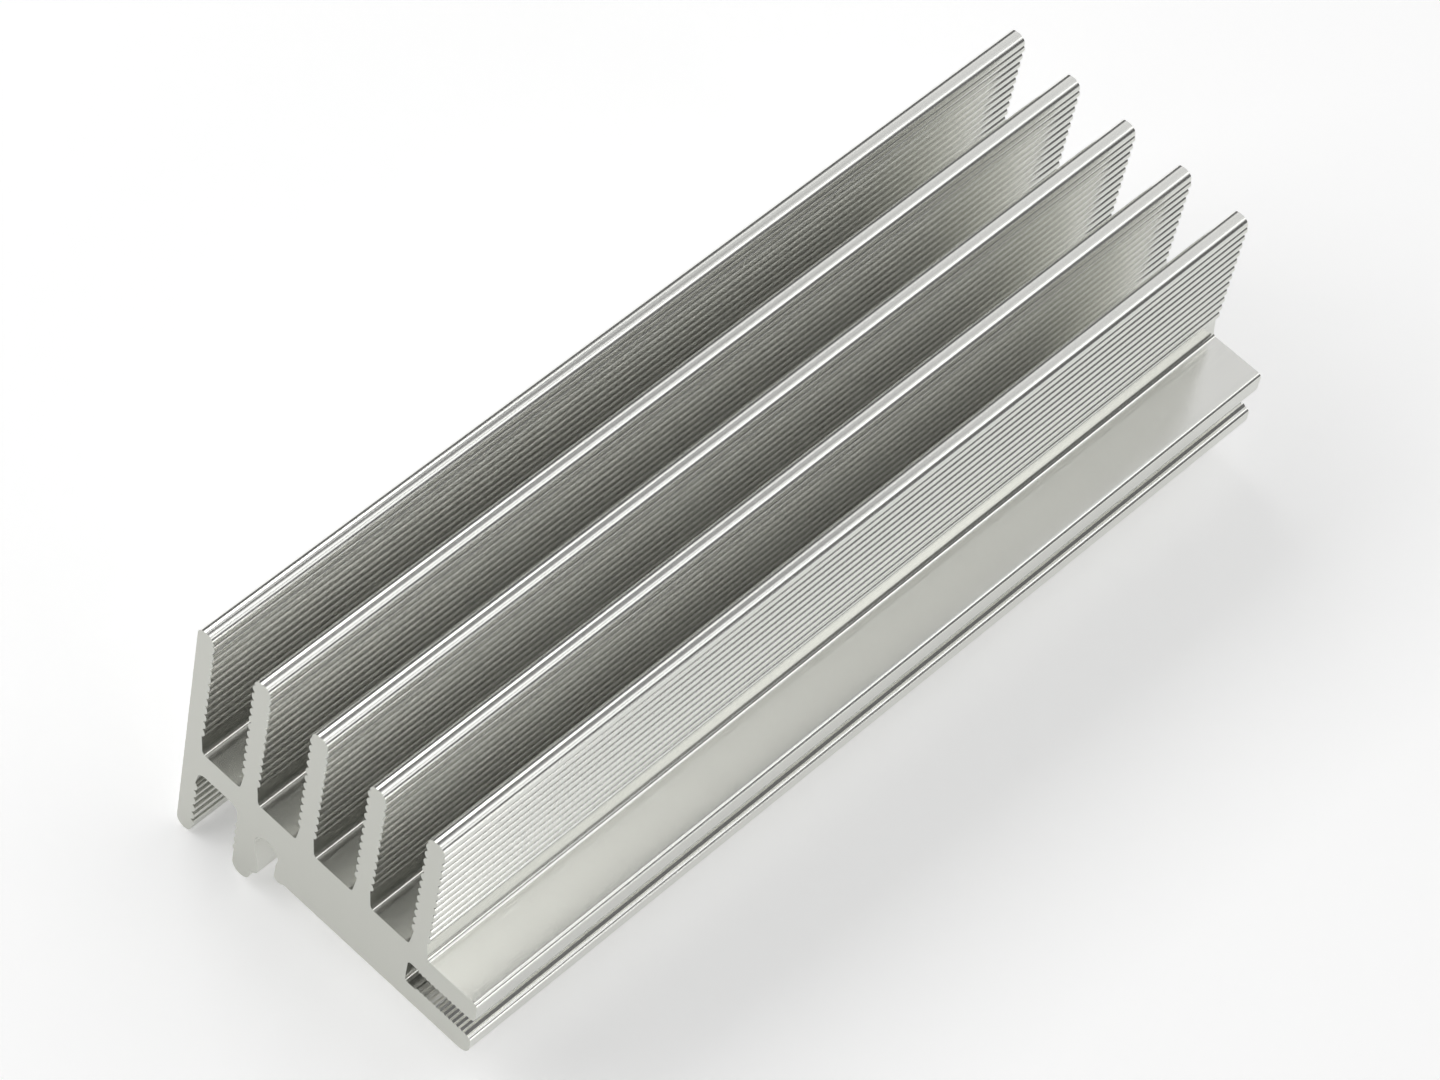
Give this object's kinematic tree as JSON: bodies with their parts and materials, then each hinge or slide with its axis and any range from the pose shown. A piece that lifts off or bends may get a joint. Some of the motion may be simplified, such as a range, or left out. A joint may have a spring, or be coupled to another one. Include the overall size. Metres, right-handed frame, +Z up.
{
  "type": "extruded heat sink",
  "caption": "Straight aluminium heat sink with upright ribbed fins on a thick base, a ribbed screw slot in the base's end, and a leg, a lug and a screw channel below.",
  "frame": {"origin": "middle of the bottom, level with the foot of the leg", "axes": "+X across the bar from the first fin to the end of the base, +Y along the bar, +Z up along the fins"},
  "size_m": [0.035, 0.1, 0.0293],
  "materials": {
    "mill_aluminium": "bare, with fine lines along the bar and a matt sawn face at each end"
  },
  "bodies": {
    "root": {"heat_sink": "mill_aluminium"}
  },
  "joints": []
}
